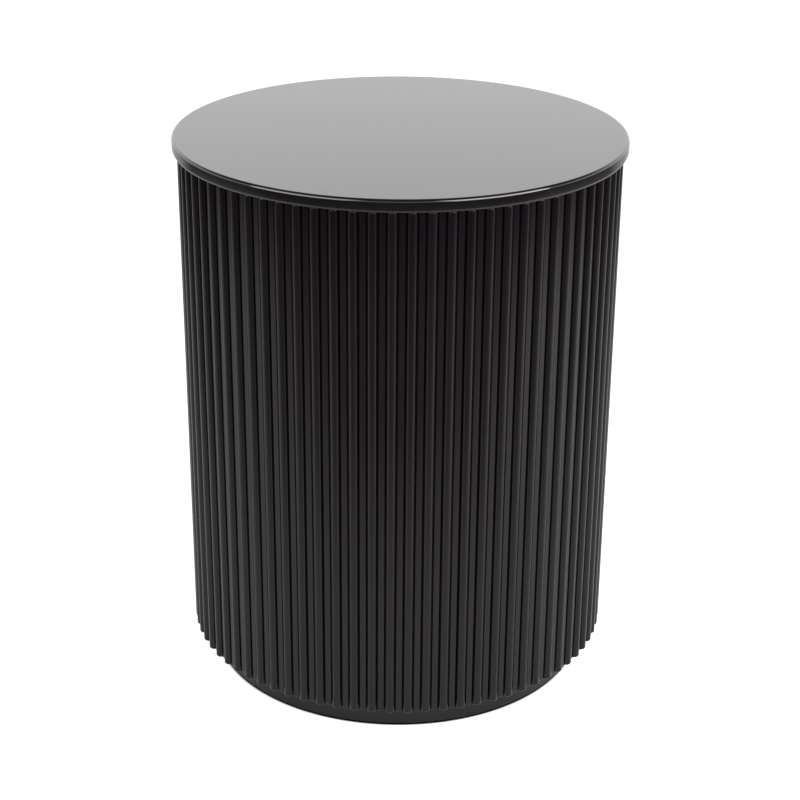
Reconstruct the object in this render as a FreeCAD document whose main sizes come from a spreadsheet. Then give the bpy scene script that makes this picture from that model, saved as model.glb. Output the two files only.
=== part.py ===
import FreeCAD, Part
import Sketcher
import math
import os
import sys

# Round side table with a reeded drum.
# A thin round top lies on a closed drum. The drum is a bent sheet wrapped round three ring formers
# that four posts hold apart, and half-round battens stand side by side all round it, each let into
# an upright housing of the sheet with an open groove at both its sides. A base board closes the drum
# underneath, and a set-back plinth ring on small glides carries the table.
# Millimetres, +Z up. The origin is on the floor, under the middle of the top. The front is -Y.

DOCUMENT = FreeCAD.newDocument("RoundSideTable")

BATTEN_PANELS = ("front", "right", "rear", "left")
POST_PLACES = ("rear_right", "rear_left", "front_left", "front_right")

# Driving dimensions: alias, value, meaning.
DRIVING_SIZES = (
    ("top_diameter", 400.0, "across the round top"),
    ("total_height", 500.0, "floor to the top face"),
    ("top_thickness", 11.5, "thickness of the top"),
    ("top_upper_round", 2.5, "round-over of the top's upper edge"),
    ("top_upper_round_share", 0.5, "most of the top's thickness that it may take"),
    ("top_lower_round", 3.0, "round-over of the top's lower edge"),
    ("top_lower_round_share", 0.3, "most of the top's thickness that it may take"),
    ("top_overhang", 4.2, "from the batten crests out to the top's edge"),
    ("batten_depth", 5.2, "from a batten's flat back out to its crest"),
    ("batten_width", 9.2, "width of a half-round batten"),
    ("housing_depth", 1.7, "how deep a batten sits in the drum sheet"),
    ("housing_side_gap", 0.8, "open groove at each side of a batten"),
    ("panel_count", len(BATTEN_PANELS), "groups of battens round the drum"),
    ("battens_per_panel", 19, "battens in one group"),
    ("front_batten_angle", -1.75, "degrees from the front to the batten nearest it"),
    ("sheet_thickness", 5.7, "thickness of the bent drum sheet between its housings"),
    ("seam_gap", 0.4, "gap where the two ends of the drum sheet meet"),
    ("glue_gap", 0.1, "clearance of curved faces that are glued"),
    ("foot_height", 25.5, "floor to the lower edge of the drum"),
    ("former_thickness", 12.0, "thickness of each ring former"),
    ("former_band", 50.0, "radial width of a ring former"),
    ("board_thickness", 12.0, "thickness of the base board"),
    ("post_width", 18.0, "side of a square post"),
    ("post_inset", 21.0, "from the former's outer edge to the middle of a post"),
    ("post_fit", 0.1, "clearance on each side of a post in the middle former"),
    ("post_count", len(POST_PLACES), "posts round the drum"),
    ("first_post_angle", 45.0, "degrees to the first post"),
    ("dowel_diameter", 8.0, "across a post dowel"),
    ("dowel_length", 30.0, "length of a post dowel"),
    ("dowel_fit", 0.1, "radial clearance of a dowel in its hole"),
    ("splice_thickness", 6.0, "thickness of the strips behind the seam"),
    ("splice_width", 40.0, "width of the strips behind the seam"),
    ("plinth_setback", 17.3, "from the drum sheet's outer face in to the plinth"),
    ("plinth_wall", 15.0, "thickness of the plinth ring"),
    ("plinth_lower_round", 1.0, "round-over of the plinth's lower outer edge"),
    ("plinth_round_share", 0.4, "most of the plinth's wall that it may take"),
    ("glide_height", 1.5, "height of a floor glide"),
    ("glide_diameter", 10.0, "across a floor glide"),
    ("glide_bevel", 0.5, "bevel of a glide's lower edge"),
    ("glide_count", 6, "floor glides under the plinth"),
    ("base_screw_setback", 11.0, "from the plinth ring in to the base board's screws"),
    ("screw_count", 6, "screws in each ring of screws"),
    ("screw_head_diameter", 7.0, "across a screw head"),
    ("screw_head_depth", 2.2, "depth of the countersunk head"),
    ("screw_diameter", 3.5, "across a screw's thread"),
    ("screw_tip", 3.0, "length of a screw's tapered tip"),
    ("screw_fit", 0.1, "clearance round and beyond a screw"),
    ("board_screw_length", 20.0, "screws through a board 12 thick"),
    ("plinth_screw_length", 32.0, "screws through the plinth ring"),
    ("overrun", 1.0, "how far a cutting shape runs past a face"),
)

# Sizes worked out from the driving ones: alias, formula, meaning.
WORKED_OUT_SIZES = (
    ("top_radius", "=top_diameter / 2", "radius of the top"),
    ("top_underside", "=total_height - top_thickness", "height of the top's underside"),
    ("crest_radius", "=top_radius - top_overhang", "radius to the crests of the battens"),
    ("seat_distance", "=crest_radius - batten_depth", "to the flat floors of the housings"),
    ("sheet_radius", "=seat_distance + housing_depth", "outer radius of the drum sheet"),
    ("sheet_inner_radius", "=sheet_radius - sheet_thickness", "inner radius of the drum sheet"),
    ("drum_height", "=top_underside - foot_height", "height of the drum sheet"),
    ("top_upper_fillet", "=min(top_upper_round; top_thickness * top_upper_round_share)", "upper"),
    ("top_lower_fillet", "=min(top_lower_round; top_thickness * top_lower_round_share)", "lower"),
    ("batten_half", "=batten_width / 2", "half a batten's width"),
    ("batten_round", "=(batten_half ^ 2 + batten_depth ^ 2) / (2 * batten_depth)", "its radius"),
    ("housing_half", "=batten_half + housing_side_gap", "half a housing's width"),
    ("housing_cut_half", "=(housing_depth + overrun) / 2", "half the depth of its cut"),
    ("housing_cut_middle", "=seat_distance + housing_cut_half", "to the middle of its cut"),
    ("batten_count", "=panel_count * battens_per_panel", "battens all round"),
    ("batten_pitch", "=360 / batten_count", "degrees from batten to batten"),
    ("panel_turn", "=360 / panel_count", "degrees from panel to panel"),
    ("panel_sweep", "=batten_pitch * (battens_per_panel - 1)", "first to last batten"),
    ("front_turn", "=front_batten_angle - 90", "the front batten, from +X"),
    ("first_panel_turn", "=front_turn - panel_sweep / 2", "first batten of the front panel"),
    ("seam_turn", "=front_turn + 180", "the sheet's seam, behind a batten at the back"),
    ("seam_half", "=seam_gap / 2", "half the seam's gap"),
    ("seam_middle", "=sheet_radius - sheet_thickness / 2", "radius to the middle of the sheet"),
    ("seam_cut_half", "=sheet_thickness / 2 + overrun", "half the length of the seam's cut"),
    ("former_radius", "=sheet_inner_radius - glue_gap", "outer radius of a former"),
    ("former_inner_radius", "=former_radius - former_band", "inner radius of a former"),
    ("lower_former_bottom", "=foot_height + board_thickness", "underside of the lower former"),
    ("lower_former_top", "=lower_former_bottom + former_thickness", "top of the lower former"),
    ("upper_former_bottom", "=top_underside - former_thickness", "underside of the upper one"),
    ("post_length", "=upper_former_bottom - lower_former_top", "length of a post"),
    ("middle_former_bottom", "=lower_former_top + (post_length - former_thickness) / 2", "height"),
    ("middle_former_top", "=middle_former_bottom + former_thickness", "top of the middle former"),
    ("post_radius", "=former_radius - post_inset", "radius to the middle of a post"),
    ("post_half", "=post_width / 2", "half a post"),
    ("post_slot_half", "=post_half + post_fit", "half a slot for a post"),
    ("post_turn", "=360 / post_count", "degrees from post to post"),
    ("dowel_radius", "=dowel_diameter / 2", "radius of a dowel"),
    ("dowel_hole_radius", "=dowel_radius + dowel_fit", "radius of a dowel's hole"),
    ("dowel_reach", "=dowel_length - former_thickness", "how deep a dowel sits in a post"),
    ("dowel_hole_depth", "=dowel_reach + dowel_fit", "depth of a dowel's hole in a post"),
    ("upper_dowel_lift", "=top_underside - dowel_length - lower_former_bottom", "pair to pair"),
    ("splice_radius", "=sheet_inner_radius - glue_gap", "outer radius of a splice strip"),
    ("splice_inner_radius", "=splice_radius - splice_thickness", "inner radius of a strip"),
    ("splice_half", "=splice_width / 2", "half a splice strip"),
    ("splice_back", "=sqrt(splice_inner_radius ^ 2 - splice_half ^ 2)", "to its inner corners"),
    ("splice_face", "=sqrt(splice_radius ^ 2 - splice_half ^ 2)", "to its outer corners"),
    ("lower_splice_height", "=middle_former_bottom - lower_former_top", "lower strip"),
    ("upper_splice_height", "=upper_former_bottom - middle_former_top", "upper strip"),
    ("plinth_radius", "=sheet_radius - plinth_setback", "outer radius of the plinth"),
    ("plinth_inner_radius", "=plinth_radius - plinth_wall", "inner radius of the plinth"),
    ("plinth_middle_radius", "=plinth_radius - plinth_wall / 2", "middle of the plinth ring"),
    ("plinth_height", "=foot_height - glide_height", "height of the plinth ring"),
    ("plinth_fillet", "=min(plinth_lower_round; plinth_wall * plinth_round_share)", "its round"),
    ("glide_radius", "=glide_diameter / 2", "radius of a glide"),
    ("glide_foot_radius", "=glide_radius - glide_bevel", "radius of a glide's flat foot"),
    ("glide_first_turn", "=180 / glide_count", "the first glide, between two screws"),
    ("screw_head_radius", "=screw_head_diameter / 2", "radius of a screw head"),
    ("screw_radius", "=screw_diameter / 2", "radius of a screw's thread"),
    ("screw_sink_radius", "=screw_head_radius + screw_fit", "radius of a countersink"),
    ("screw_hole_radius", "=screw_radius + screw_fit", "radius of a screw's hole"),
    ("board_screw_shank", "=board_screw_length - screw_tip", "head face to the tip's start"),
    ("plinth_screw_shank", "=plinth_screw_length - screw_tip", "head face to the tip's start"),
    ("top_hole_depth", "=board_screw_length - former_thickness + screw_fit", "hole in the top"),
    ("former_hole_depth", "=board_screw_length - board_thickness + screw_fit", "in the former"),
    ("board_hole_depth", "=plinth_screw_length - plinth_height + screw_fit", "in the board"),
    ("top_screw_radius", "=former_radius - former_band / 2", "ring of screws into the top"),
    ("base_screw_radius", "=plinth_inner_radius - base_screw_setback", "ring in the board"),
)


def fill_sheet():
    """Write both tables of sizes into the spreadsheet and name its cells."""
    sheet = DOCUMENT.addObject("Spreadsheet::Sheet", "Sizes")
    for row, (alias, content, meaning) in enumerate(DRIVING_SIZES + WORKED_OUT_SIZES, start=1):
        sheet.set("A%d" % row, alias)
        sheet.set("B%d" % row, str(content))
        sheet.set("C%d" % row, meaning)
        sheet.setAlias("B%d" % row, alias)
    DOCUMENT.recompute()
    return sheet


SHEET = fill_sheet()


def size(alias):
    """Return one size of the sheet; no alias means zero."""
    return float(SHEET.get(alias)) if alias else 0.0


def bind(thing, path, alias):
    """Tie a property of an object to a cell of the sheet."""
    thing.setExpression(path, "Sizes.%s" % alias)


def new_body(label, height=None, turn=None):
    """Start a sub-part at one height of the sheet, turned about Z by a formula of its cells."""
    body = DOCUMENT.addObject("PartDesign::Body", label)
    body.Label = label
    body.AllowCompound = True
    body.Placement = FreeCAD.Placement()
    if height:
        bind(body, ".Placement.Base.z", height)
    if turn:
        body.setExpression(".Placement.Rotation.Angle", turn)
    return body


def origin_part(body, role):
    """Find an origin plane or axis of a body by its role."""
    return next(item for item in body.Origin.OriginFeatures if item.Role == role)


def new_sketch(body, role, name, shift=None, lift=None, turn=None):
    """Lay a sketch on an origin plane, shifted along X, lifted along the normal or turned."""
    sketch = body.newObject("Sketcher::SketchObject", name)
    sketch.AttachmentSupport = [(origin_part(body, role), "")]
    sketch.MapMode = "FlatFace"
    for path, alias in (("Base.x", shift), ("Base.z", lift), ("Rotation.Angle", turn)):
        if alias:
            bind(sketch, ".AttachmentOffset.%s" % path, alias)
    return sketch


def hold(sketch, kind, places, alias):
    """Add a dimension that keeps to a size of the sheet, or pins a point to an axis for none."""
    if alias:
        index = sketch.addConstraint(Sketcher.Constraint(kind, *places, size(alias)))
        sketch.setExpression("Constraints[%d]" % index, "Sizes.%s" % alias)
    else:
        axis = {"DistanceX": -2, "DistanceY": -1}[kind]
        sketch.addConstraint(Sketcher.Constraint("PointOnObject", *places, axis))


def add_circle(sketch, radius, out=None):
    """Draw a circle about the sketch's origin, or out along its X axis."""
    middle = FreeCAD.Vector(size(out), 0, 0)
    circle = sketch.addGeometry(Part.Circle(middle, FreeCAD.Vector(0, 0, 1), size(radius)), False)
    hold(sketch, "DistanceX", (circle, 3), out)
    hold(sketch, "DistanceY", (circle, 3), None)
    hold(sketch, "Radius", (circle,), radius)


def add_outline(sketch, corners):
    """Draw a closed outline of straight lines through corners given as pairs of aliases."""
    points = [FreeCAD.Vector(size(across), size(up), 0) for across, up in corners]
    count = len(points)
    for index in range(count):
        line = Part.LineSegment(points[index], points[(index + 1) % count])
        sketch.addGeometry(line, False)
    for index in range(count):
        following = (index + 1) % count
        sketch.addConstraint(Sketcher.Constraint("Coincident", index, 2, following, 1))
        hold(sketch, "DistanceX", (index, 1), corners[index][0])
        hold(sketch, "DistanceY", (index, 1), corners[index][1])


def add_centred_box(sketch, half_across, half_up):
    """Draw a rectangle about the sketch's own origin."""
    right = size(half_across)
    top = size(half_up)
    points = [(-right, -top), (right, -top), (right, top), (-right, top)]
    for index in range(4):
        start = FreeCAD.Vector(*points[index], 0)
        end = FreeCAD.Vector(*points[(index + 1) % 4], 0)
        sketch.addGeometry(Part.LineSegment(start, end), False)
    for index in range(4):
        sketch.addConstraint(Sketcher.Constraint("Coincident", index, 2, (index + 1) % 4, 1))
    for kind, line in (("Horizontal", 0), ("Horizontal", 2), ("Vertical", 1), ("Vertical", 3)):
        sketch.addConstraint(Sketcher.Constraint(kind, line))
    sketch.addConstraint(Sketcher.Constraint("Symmetric", 0, 1, 2, 1, -1, 1))
    hold(sketch, "DistanceX", (2, 1), half_across)
    hold(sketch, "DistanceY", (2, 1), half_up)


def add_segment(sketch):
    """Draw a batten's section: a flat back on its seat and one arc over to the crest."""
    half = size("batten_half")
    back = size("seat_distance")
    low = FreeCAD.Vector(back, -half, 0)
    high = FreeCAD.Vector(back, half, 0)
    crest = FreeCAD.Vector(size("crest_radius"), 0, 0)
    arc = sketch.addGeometry(Part.Arc(low, crest, high), False)
    line = sketch.addGeometry(Part.LineSegment(high, low), False)
    sketch.addConstraint(Sketcher.Constraint("Coincident", arc, 2, line, 1))
    sketch.addConstraint(Sketcher.Constraint("Coincident", arc, 1, line, 2))
    sketch.addConstraint(Sketcher.Constraint("Vertical", line))
    sketch.addConstraint(Sketcher.Constraint("PointOnObject", arc, 3, -1))
    hold(sketch, "DistanceX", (line, 1), "seat_distance")
    hold(sketch, "DistanceY", (line, 1), "batten_half")
    hold(sketch, "Radius", (arc,), "batten_round")


def add_bent_strip(sketch):
    """Draw a splice strip's section: a piece of ring about X, as wide as the strip."""
    middle = FreeCAD.Vector(0, 0, 0)
    half = size("splice_half")
    outer = FreeCAD.Vector(size("splice_face"), half, 0)
    inner = FreeCAD.Vector(size("splice_back"), half, 0)
    face = sketch.addGeometry(Part.ArcOfCircle(
        Part.Circle(middle, FreeCAD.Vector(0, 0, 1), size("splice_radius")),
        -math.atan2(outer.y, outer.x), math.atan2(outer.y, outer.x)), False)
    back = sketch.addGeometry(Part.ArcOfCircle(
        Part.Circle(middle, FreeCAD.Vector(0, 0, 1), size("splice_inner_radius")),
        -math.atan2(inner.y, inner.x), math.atan2(inner.y, inner.x)), False)
    upper = sketch.addGeometry(Part.LineSegment(outer, inner), False)
    mirrored = [FreeCAD.Vector(point.x, -point.y, 0) for point in (inner, outer)]
    lower = sketch.addGeometry(Part.LineSegment(*mirrored), False)
    joints = ((face, 2, upper, 1), (upper, 2, back, 2), (back, 1, lower, 1), (lower, 2, face, 1))
    for joint in joints:
        sketch.addConstraint(Sketcher.Constraint("Coincident", *joint))
    for arc, radius in ((face, "splice_radius"), (back, "splice_inner_radius")):
        sketch.addConstraint(Sketcher.Constraint("Coincident", arc, 3, -1, 1))
        hold(sketch, "Radius", (arc,), radius)
    sketch.addConstraint(Sketcher.Constraint("Horizontal", upper))
    sketch.addConstraint(Sketcher.Constraint("Horizontal", lower))
    sketch.addConstraint(Sketcher.Constraint("Symmetric", face, 1, face, 2, -1))
    hold(sketch, "DistanceY", (upper, 1), "splice_half")


def pad(body, sketch, name, length):
    """Raise a sketch to a length of the sheet."""
    feature = body.newObject("PartDesign::Pad", name)
    feature.Profile = sketch
    bind(feature, "Length", length)
    sketch.Visibility = False
    return feature


def pocket(body, sketch, name, depth=None, upwards=True):
    """Cut a sketch up or down to a depth of the sheet, or right through."""
    feature = body.newObject("PartDesign::Pocket", name)
    feature.Profile = sketch
    feature.Reversed = upwards
    if depth:
        bind(feature, "Length", depth)
    else:
        feature.Type = "ThroughAll"
    sketch.Visibility = False
    return feature


def turned(body, kind, sketch, name):
    """Turn a sketch right round its own upright axis, to add or to cut."""
    feature = body.newObject("PartDesign::%s" % kind, name)
    feature.Profile = sketch
    feature.ReferenceAxis = (sketch, ["V_Axis"])
    feature.Angle = 360.0
    sketch.Visibility = False
    return feature


def ring_pattern(body, features, name, count, sweep=None):
    """Repeat features about Z, over a full turn or over an angle of the sheet."""
    pattern = body.newObject("PartDesign::PolarPattern", name)
    pattern.Originals = features
    pattern.Axis = (origin_part(body, "Z_Axis"), [""])
    bind(pattern, "Occurrences", count)
    if sweep:
        bind(pattern, "Angle", sweep)
    else:
        pattern.Angle = 360.0
    body.Tip = pattern
    return pattern


def round_edge(body, base, name, fillet_radius, edge_radius, height):
    """Round the circular edge of a feature that has one radius and lies at one height."""
    DOCUMENT.recompute()
    tolerance = size("glue_gap")
    for index, edge in enumerate(base.Shape.Edges, start=1):
        circle = edge.Curve
        level = isinstance(circle, Part.Circle) and abs(circle.Center.z - size(height)) < tolerance
        if level and abs(circle.Radius - size(edge_radius)) < tolerance:
            fillet = body.newObject("PartDesign::Fillet", name)
            fillet.Base = (base, ["Edge%d" % index])
            bind(fillet, "Radius", fillet_radius)
            body.Tip = fillet
            return fillet
    raise RuntimeError("no edge to round on %s" % body.Label)


def flat_ring(body, outer, inner, thickness):
    """Give a body its first solid: a flat ring, or a disc where no inner radius is given."""
    outline = new_sketch(body, "XY_Plane", "%s_outline" % body.Label)
    add_circle(outline, outer)
    if inner:
        add_circle(outline, inner)
    return pad(body, outline, "%s_blank" % body.Label, thickness)


def screw_ring(label, height, ring_radius, shank, length):
    """Make a ring of countersunk wood screws that point up."""
    body = new_body(label, height)
    outline = new_sketch(body, "XZ_Plane", "%s_outline" % label, shift=ring_radius)
    corners = (
        (None, None),
        ("screw_head_radius", None),
        ("screw_radius", "screw_head_depth"),
        ("screw_radius", shank),
        (None, length),
    )
    add_outline(outline, corners)
    first = turned(body, "Revolution", outline, "%s_first" % label)
    ring_pattern(body, [first], "%s_ring" % label, "screw_count")


def cut_countersinks(body, ring_radius, thickness):
    """Cut a ring of through holes, sunk for screw heads that come from below."""
    outline = new_sketch(body, "XZ_Plane", "%s_sink_outline" % body.Label, shift=ring_radius)
    corners = (
        (None, None),
        ("screw_sink_radius", None),
        ("screw_hole_radius", "screw_head_depth"),
        ("screw_hole_radius", thickness),
        (None, thickness),
    )
    add_outline(outline, corners)
    first = turned(body, "Groove", outline, "%s_sink" % body.Label)
    ring_pattern(body, [first], "%s_sinks" % body.Label, "screw_count")


def cut_holes(body, kind, ring_radius, radius, count, depth=None, turn=None):
    """Cut a ring of round holes upwards, to a depth or right through."""
    name = "%s_%s" % (body.Label, kind)
    outline = new_sketch(body, "XY_Plane", "%s_outline" % name, turn=turn)
    add_circle(outline, radius, out=ring_radius)
    first = pocket(body, outline, "%s_first" % name, depth)
    ring_pattern(body, [first], "%s_ring" % name, count)


def make_table_top():
    """The round top: both edges rounded over, blind holes for its screws underneath."""
    body = new_body("table_top", "top_underside")
    blank = flat_ring(body, "top_radius", None, "top_thickness")
    upper = round_edge(body, blank, "top_upper_round", "top_upper_fillet", "top_radius",
                       "top_thickness")
    round_edge(body, upper, "top_lower_round", "top_lower_fillet", "top_radius", None)
    cut_holes(body, "screw_holes", "top_screw_radius", "screw_hole_radius", "screw_count",
              depth="top_hole_depth")


def make_upper_former():
    """The ring under the top, which is screwed to it from below and stands on the posts."""
    body = new_body("upper_former", "upper_former_bottom")
    flat_ring(body, "former_radius", "former_inner_radius", "former_thickness")
    cut_countersinks(body, "top_screw_radius", "former_thickness")
    cut_holes(body, "dowel_holes", "post_radius", "dowel_hole_radius", "post_count",
              turn="first_post_angle")


def make_middle_former():
    """The ring half way up, with a square slot for each post."""
    body = new_body("middle_former", "middle_former_bottom", "Sizes.first_post_angle")
    flat_ring(body, "former_radius", "former_inner_radius", "former_thickness")
    outline = new_sketch(body, "XY_Plane", "post_slot_outline", shift="post_radius")
    add_centred_box(outline, "post_slot_half", "post_slot_half")
    first = pocket(body, outline, "post_slot")
    ring_pattern(body, [first], "post_slots", "post_count")


def make_lower_former():
    """The ring that the posts stand on, over the base board."""
    body = new_body("lower_former", "lower_former_bottom")
    flat_ring(body, "former_radius", "former_inner_radius", "former_thickness")
    cut_holes(body, "screw_holes", "base_screw_radius", "screw_hole_radius", "screw_count",
              depth="former_hole_depth")
    cut_holes(body, "dowel_holes", "post_radius", "dowel_hole_radius", "post_count",
              turn="first_post_angle")


def make_posts():
    """The square posts, each bored at both ends for a dowel."""
    for number, place in enumerate(POST_PLACES):
        label = "post_%s" % place
        body = new_body(label, "lower_former_top",
                        "Sizes.first_post_angle + %d * Sizes.post_turn" % number)
        outline = new_sketch(body, "XY_Plane", "%s_outline" % label, shift="post_radius")
        add_centred_box(outline, "post_half", "post_half")
        pad(body, outline, "%s_blank" % label, "post_length")
        for end, lift, upwards in (("lower", None, True), ("upper", "post_length", False)):
            name = "%s_%s_hole" % (label, end)
            bore = new_sketch(body, "XY_Plane", "%s_outline" % name, lift=lift)
            add_circle(bore, "dowel_hole_radius", out="post_radius")
            body.Tip = pocket(body, bore, name, "dowel_hole_depth", upwards)


def make_post_dowels():
    """The dowels that pin both ends of the posts to the formers."""
    body = new_body("post_dowels", "lower_former_bottom", "Sizes.first_post_angle")
    dowels = []
    for end, lift in (("lower", None), ("upper", "upper_dowel_lift")):
        outline = new_sketch(body, "XY_Plane", "%s_dowel_outline" % end, lift=lift)
        add_circle(outline, "dowel_radius", out="post_radius")
        dowels.append(pad(body, outline, "%s_dowel" % end, "dowel_length"))
    ring_pattern(body, dowels, "dowel_ring", "post_count")


def make_drum_sheet():
    """The bent sheet round the formers: a housing for each batten, the seam in one of them."""
    body = new_body("drum_sheet", "foot_height", "Sizes.seam_turn")
    flat_ring(body, "sheet_radius", "sheet_inner_radius", "drum_height")
    housing = new_sketch(body, "XY_Plane", "housing_outline", shift="housing_cut_middle")
    add_centred_box(housing, "housing_cut_half", "housing_half")
    first = pocket(body, housing, "housing")
    ring_pattern(body, [first], "housings", "batten_count")
    outline = new_sketch(body, "XY_Plane", "seam_outline", shift="seam_middle")
    add_centred_box(outline, "seam_cut_half", "seam_half")
    body.Tip = pocket(body, outline, "seam")


def make_splices():
    """The two bent strips glued behind the seam, below and above the middle former."""
    strips = (
        ("seam_splice_lower", "lower_former_top", "lower_splice_height"),
        ("seam_splice_upper", "middle_former_top", "upper_splice_height"),
    )
    for label, height, length in strips:
        body = new_body(label, height, "Sizes.seam_turn")
        outline = new_sketch(body, "XY_Plane", "%s_outline" % label)
        add_bent_strip(outline)
        body.Tip = pad(body, outline, "%s_blank" % label, length)


def make_battens():
    """The half-round battens round the drum, in panels of as many separate battens."""
    for number, side in enumerate(BATTEN_PANELS):
        label = "battens_%s" % side
        body = new_body(label, "foot_height",
                        "Sizes.first_panel_turn + %d * Sizes.panel_turn" % number)
        outline = new_sketch(body, "XY_Plane", "%s_outline" % label)
        add_segment(outline)
        first = pad(body, outline, "%s_first" % label, "drum_height")
        ring_pattern(body, [first], "%s_ring" % label, "battens_per_panel", "panel_sweep")


def make_base_board():
    """The round board that closes the drum, level with the sheet's lower edge."""
    body = new_body("base_board", "foot_height")
    flat_ring(body, "former_radius", None, "board_thickness")
    cut_countersinks(body, "base_screw_radius", "board_thickness")
    cut_holes(body, "screw_holes", "plinth_middle_radius", "screw_hole_radius", "screw_count",
              depth="board_hole_depth")


def make_plinth_ring():
    """The set-back ring that carries the table, screwed up into the base board."""
    body = new_body("plinth_ring", "glide_height")
    blank = flat_ring(body, "plinth_radius", "plinth_inner_radius", "plinth_height")
    round_edge(body, blank, "plinth_lower_round", "plinth_fillet", "plinth_radius", None)
    cut_countersinks(body, "plinth_middle_radius", "plinth_height")


def make_floor_glides():
    """The small glides under the plinth ring, between its screws."""
    body = new_body("floor_glides", None, "Sizes.glide_first_turn")
    outline = new_sketch(body, "XZ_Plane", "glide_outline", shift="plinth_middle_radius")
    corners = (
        (None, None),
        ("glide_foot_radius", None),
        ("glide_radius", "glide_bevel"),
        ("glide_radius", "glide_height"),
        (None, "glide_height"),
    )
    add_outline(outline, corners)
    first = turned(body, "Revolution", outline, "glide_first")
    ring_pattern(body, [first], "glide_ring", "glide_count")


def make_screws():
    """The three rings of screws: into the top, into the lower former and into the board."""
    screw_ring("top_screws", "upper_former_bottom", "top_screw_radius", "board_screw_shank",
               "board_screw_length")
    screw_ring("base_screws", "foot_height", "base_screw_radius", "board_screw_shank",
               "board_screw_length")
    screw_ring("plinth_screws", "glide_height", "plinth_middle_radius", "plinth_screw_shank",
               "plinth_screw_length")


def check_document():
    """Return the sub-parts once every object is sound, or stop with what is wrong."""
    DOCUMENT.recompute()
    for item in DOCUMENT.Objects:
        if "Invalid" in item.State or "Error" in item.State:
            sys.exit("%s failed: %s" % (item.Label, item.State))
    bodies = [item for item in DOCUMENT.Objects if item.TypeId == "PartDesign::Body"]
    for body in bodies:
        if body.Shape.isNull() or not body.Shape.isValid():
            sys.exit("%s has no valid shape" % body.Label)
    return bodies


def write_parts(bodies):
    """Write each sub-part to its own file and print what it holds."""
    os.makedirs("parts", exist_ok=True)
    for body in bodies:
        body.Shape.exportStep("parts/%s.step" % body.Label)
        print("%-18s solids %2d volume %.1f" % (body.Label, len(body.Shape.Solids),
                                                body.Shape.Volume))


make_table_top()
make_upper_former()
make_middle_former()
make_lower_former()
make_posts()
make_post_dowels()
make_drum_sheet()
make_splices()
make_battens()
make_base_board()
make_plinth_ring()
make_floor_glides()
make_screws()
write_parts(check_document())
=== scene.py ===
"""Dresses a round side table: a disc top, a drum with half-round battens all round, and a set-back plinth.

Every piece is in metres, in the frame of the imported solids: Z is up, the table stands on Z = 0 and its
front faces -Y. A batten's azimuth is counted from the front towards +X.
"""

import logging
import math
from collections.abc import Callable, Iterable, Iterator
from contextlib import contextmanager
from dataclasses import dataclass, field
from enum import Enum

import bmesh
import bpy
from mathutils import Matrix, Vector

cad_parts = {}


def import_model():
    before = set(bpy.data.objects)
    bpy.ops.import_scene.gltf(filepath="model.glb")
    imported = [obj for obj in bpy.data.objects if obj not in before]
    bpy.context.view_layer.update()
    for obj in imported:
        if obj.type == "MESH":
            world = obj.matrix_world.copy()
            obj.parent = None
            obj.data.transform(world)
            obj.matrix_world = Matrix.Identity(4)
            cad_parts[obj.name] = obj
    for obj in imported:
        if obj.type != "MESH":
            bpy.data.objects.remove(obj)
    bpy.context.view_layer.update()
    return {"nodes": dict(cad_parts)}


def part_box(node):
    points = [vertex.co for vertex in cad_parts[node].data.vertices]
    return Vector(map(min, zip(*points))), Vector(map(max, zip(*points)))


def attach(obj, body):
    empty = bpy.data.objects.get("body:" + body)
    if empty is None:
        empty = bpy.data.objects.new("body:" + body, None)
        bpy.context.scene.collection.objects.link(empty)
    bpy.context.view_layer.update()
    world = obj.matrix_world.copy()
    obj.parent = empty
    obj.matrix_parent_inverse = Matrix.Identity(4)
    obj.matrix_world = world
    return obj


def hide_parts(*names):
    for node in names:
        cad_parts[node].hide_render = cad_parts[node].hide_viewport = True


LOG = logging.getLogger("side_table")

Colour = tuple[float, float, float]
Piece = bpy.types.Object
EditMesh = bmesh.types.BMesh
Socket = bpy.types.NodeSocket

MM = 0.001
FULL_TURN = 2.0 * math.pi
LEVEL = 0.999  # least Z of the normal of a level face
WHITE = (1.0, 1.0, 1.0, 1.0)
BATTEN_COUNT = 76
BATTEN_PITCH = FULL_TURN / BATTEN_COUNT
FRONT_BATTEN_AZIMUTH = math.radians(-1.75)


class Side(Enum):
    """The quarter of the batten ring that a panel covers, named by where it faces."""

    FRONT = "front"
    RIGHT = "right"
    REAR = "rear"
    LEFT = "left"


class Slot(Enum):
    """Material slots of the record."""

    TOP = "top_lacquer"
    BATTENS = "batten_lacquer"
    DRUM = "drum_lacquer"
    PLINTH = "plinth_lacquer"
    BOARD = "board_paint"
    PLYWOOD = "plywood"
    PINE = "pine"
    BEECH = "beech"
    STEEL = "zinc_steel"
    GLIDES = "glide_plastic"


# Bench helpers.


def clear_selection() -> None:
    """Deselect every object in the scene."""
    bpy.ops.object.select_all(action="DESELECT")


def put_on_bench(piece: Piece) -> None:
    """Select one piece alone and make it active.

    Args:
        piece: The object that the next operators work on.
    """
    clear_selection()
    piece.select_set(True)
    bpy.context.view_layer.objects.active = piece


def new_from_primitive(name: str) -> Piece:
    """Name the primitive that was just added and put its place into its mesh.

    Args:
        name: The piece's name.

    Returns:
        The new piece, its object at the origin.
    """
    piece = bpy.context.view_layer.objects.active
    piece.name = name
    piece.data.name = name
    put_on_bench(piece)
    bpy.ops.object.transform_apply(location=True, rotation=True, scale=True)
    return piece


@contextmanager
def shaping(piece: Piece, kind: str = "EDGE") -> Iterator[EditMesh]:
    """Open a piece in edit mode with nothing selected, and close it again.

    Args:
        piece: The piece to shape.
        kind: The selection mode, VERT, EDGE or FACE.

    Returns:
        A context that gives the edit mesh, for selecting by place.
    """
    put_on_bench(piece)
    bpy.ops.object.mode_set(mode="EDIT")
    bpy.ops.mesh.select_mode(type=kind)
    bpy.ops.mesh.select_all(action="DESELECT")
    try:
        yield bmesh.from_edit_mesh(piece.data)
    finally:
        bpy.ops.object.mode_set(mode="OBJECT")


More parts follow.
